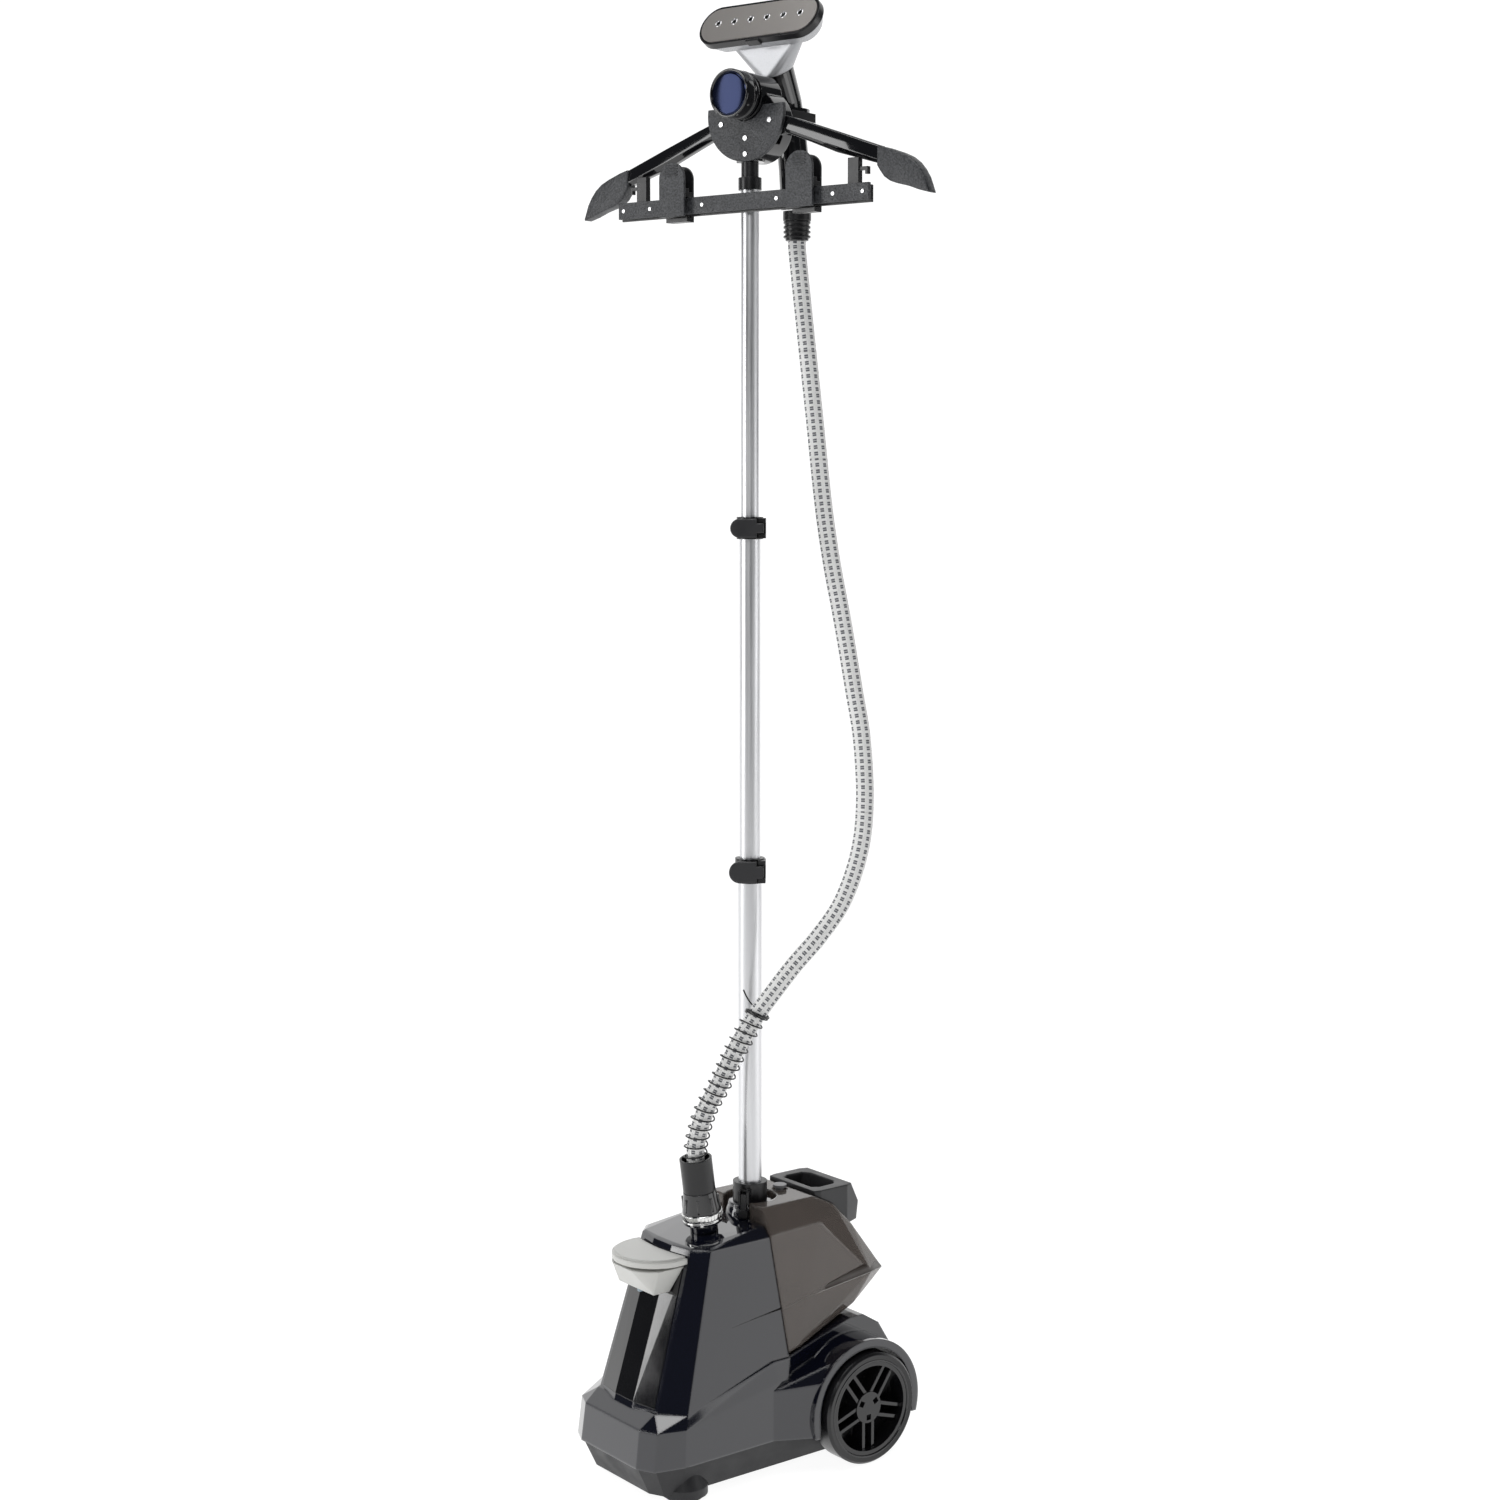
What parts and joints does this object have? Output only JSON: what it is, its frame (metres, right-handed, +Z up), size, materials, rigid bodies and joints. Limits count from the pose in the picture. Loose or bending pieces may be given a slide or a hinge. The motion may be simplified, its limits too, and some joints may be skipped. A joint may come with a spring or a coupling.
{
  "type": "garment steamer",
  "caption": "Upright garment steamer on a wheeled base, with lift-off water tank, telescopic pole, swivelling garment hanger with trouser clips, steam handset and woven hose.",
  "frame": {"origin": "on the floor, centred under the bounding box of everything but the hose", "axes": "+Z up along the pole, -Y towards the foot pedal at the front of the base, +X along the wheel axle to the right-hand wheel"},
  "size_m": [0.4355, 0.346, 1.5441],
  "materials": {
    "navy_gloss": "gloss",
    "black_matte": "matte",
    "foot_rubber": "matte",
    "pale_grey": "satin",
    "lamp_lens": "gloss",
    "chrome_ring": "polished",
    "black_gloss": "gloss",
    "black_satin": "satin",
    "smoky_clear": "clear smoky",
    "charcoal_satin": "satin",
    "grey_button": "satin",
    "white_plastic": "satin",
    "tyre_black": "satin",
    "steel": "brushed",
    "boiler_metal": "cast",
    "copper_element": "dull",
    "tube_metal": "satin",
    "grey_grain": "fine grain",
    "knob_mirror": "mirror gloss",
    "sole_metal": "satin",
    "pearl_grey": "pearl satin",
    "woven_sleeve": "woven",
    "guard_wire": "satin"
  },
  "bodies": {
    "base": {"base_shell": "navy_gloss", "base_tray": "black_matte", "foot_pads": "foot_rubber", "front_panel": "navy_gloss", "pedal_housing": "pale_grey", "status_lamp": "lamp_lens", "hose_inlet": "navy_gloss", "hose_sleeve": "black_gloss", "hose_cap": "black_matte", "pole_socket": "navy_gloss", "pole_collar": "black_satin", "axle": "steel", "boiler": "boiler_metal", "heater": "copper_element", "steam_pipe": "steel", "feed_cup": "black_matte", "drip_screws": "steel", "cord_gland": "black_matte", "lower_tube": "tube_metal", "tube_foot": "black_matte", "clamp_low": "black_satin", "steam_hose": "woven_sleeve", "hose_guard": "guard_wire"},
    "pedal": {"pedal_lid": "pale_grey"},
    "nut": {"hose_nut": "chrome_ring"},
    "pole_lock": {"collar_lever": "black_satin"},
    "tank": {"water_tank": "smoky_clear", "tank_handle": "charcoal_satin", "tank_valve": "white_plastic"},
    "button": {"tank_button": "grey_button"},
    "right_wheel": {"tyre_right": "tyre_black", "rim_right": "black_gloss"},
    "left_wheel": {"tyre_left": "tyre_black", "rim_left": "black_gloss"},
    "low_lever": {"clamp_low_lever": "charcoal_satin"},
    "high_lever": {"clamp_high_lever": "charcoal_satin"},
    "middle": {"middle_tube": "tube_metal", "clamp_high": "black_satin"},
    "upper": {"upper_tube": "tube_metal", "pole_top": "black_satin"},
    "hanger": {"hub_body": "black_gloss", "hub_plate": "grey_grain", "hanger_screws": "steel", "wing_right": "grey_grain", "wing_left": "grey_grain", "bar_front": "grey_grain", "bar_back": "black_satin", "cradle": "black_satin"},
    "fold_knob": {"knob": "knob_mirror"},
    "right_clip": {"clip_right": "black_satin"},
    "left_clip": {"clip_left": "black_satin"},
    "right_jaw": {"jaw_right": "grey_grain"},
    "left_jaw": {"jaw_left": "grey_grain"},
    "handset": {"steam_plate": "sole_metal", "head_rim": "black_satin", "head_cup": "pearl_grey", "handle": "black_gloss", "hose_gland": "black_satin"},
    "trigger": {"steam_trigger": "charcoal_satin"}
  },
  "joints": [
    {"name": "pedal_press", "type": "hinge", "parent": "base", "child": "pedal", "pos_m": [0, -0.1102, 0.2395], "axis": [1, 0, 0], "range_deg": [0, 3], "stiffness_Nm_per_rad": 1, "springref_deg": -1.72},
    {"name": "hose_nut_turn", "type": "hinge", "parent": "base", "child": "nut", "pos_m": [0.01, -0.054, 0.258], "axis": [0, -0.1392, 0.9903], "range_deg": [0, 90]},
    {"name": "pole_lock_swing", "type": "hinge", "parent": "base", "child": "pole_lock", "pos_m": [0.01662, -0.00628, 0.29], "axis": [0.788, 0.6157, 0], "range_deg": [-75, 0]},
    {"name": "tank_lift", "type": "slide", "parent": "base", "child": "tank", "axis": [0, 0, 1], "range_m": [0, 0.16]},
    {"name": "tank_button_press", "type": "slide", "parent": "tank", "child": "button", "axis": [0, 0, -1], "range_m": [0, 0.0018], "stiffness_N_per_m": 300, "springref_m": -0.001},
    {"name": "right_wheel_spin", "type": "hinge", "parent": "base", "child": "right_wheel", "pos_m": [0.099, 0.093, 0.0605], "axis": [1, 0, 0], "continuous": true},
    {"name": "left_wheel_spin", "type": "hinge", "parent": "base", "child": "left_wheel", "pos_m": [-0.099, 0.093, 0.0605], "axis": [1, 0, 0], "continuous": true},
    {"name": "low_clamp_lever", "type": "hinge", "parent": "base", "child": "low_lever", "pos_m": [0.01931, 0.01577, 0.64], "axis": [0, 0, 1], "range_deg": [0, 70]},
    {"name": "middle_tube_slide", "type": "slide", "parent": "base", "child": "middle", "axis": [0, 0, 1], "range_m": [-0.26, 0], "deforming": ["steam_hose"]},
    {"name": "high_clamp_lever", "type": "hinge", "parent": "middle", "child": "high_lever", "pos_m": [0.01793, 0.01692, 1.0025], "axis": [0, 0, 1], "range_deg": [0, 70]},
    {"name": "upper_tube_slide", "type": "slide", "parent": "middle", "child": "upper", "axis": [0, 0, 1], "range_m": [-0.24, 0], "deforming": ["steam_hose"]},
    {"name": "hanger_swivel", "type": "hinge", "parent": "upper", "child": "hanger", "pos_m": [0, 0.015, 1.39], "axis": [0, 0, 1], "range_deg": [-40, 40], "deforming": ["steam_hose"]},
    {"name": "knob_press", "type": "slide", "parent": "hanger", "child": "fold_knob", "axis": [-0.2588, 0.9659, 0], "range_m": [0, 0.003], "stiffness_N_per_m": 400, "springref_m": -0.001},
    {"name": "right_clip_slide", "type": "slide", "parent": "hanger", "child": "right_clip", "axis": [0.9659, 0.2588, 0], "range_m": [-0.03, 0.03]},
    {"name": "left_clip_slide", "type": "slide", "parent": "hanger", "child": "left_clip", "axis": [0.9659, 0.2588, 0], "range_m": [-0.03, 0.03]},
    {"name": "right_jaw_open", "type": "hinge", "parent": "right_clip", "child": "right_jaw", "pos_m": [0.08477, 0.01546, 1.3525], "axis": [0.9659, 0.2588, 0], "range_deg": [-25, 0], "stiffness_Nm_per_rad": 0.4, "springref_deg": 11.46},
    {"name": "left_jaw_open", "type": "hinge", "parent": "left_clip", "child": "left_jaw", "pos_m": [-0.07364, -0.02699, 1.3525], "axis": [0.9659, 0.2588, 0], "range_deg": [-25, 0], "stiffness_Nm_per_rad": 0.4, "springref_deg": 11.46},
    {"name": "handset_lift", "type": "slide", "parent": "hanger", "child": "handset", "axis": [0, 0, 1], "range_m": [0, 0.05], "deforming": ["steam_hose"]},
    {"name": "trigger_press", "type": "hinge", "parent": "handset", "child": "trigger", "pos_m": [-0.00949, 0.05043, 1.45876], "axis": [0.9659, 0.2588, 0], "range_deg": [0, 4], "stiffness_Nm_per_rad": 0.4, "springref_deg": -2.86}
  ]
}
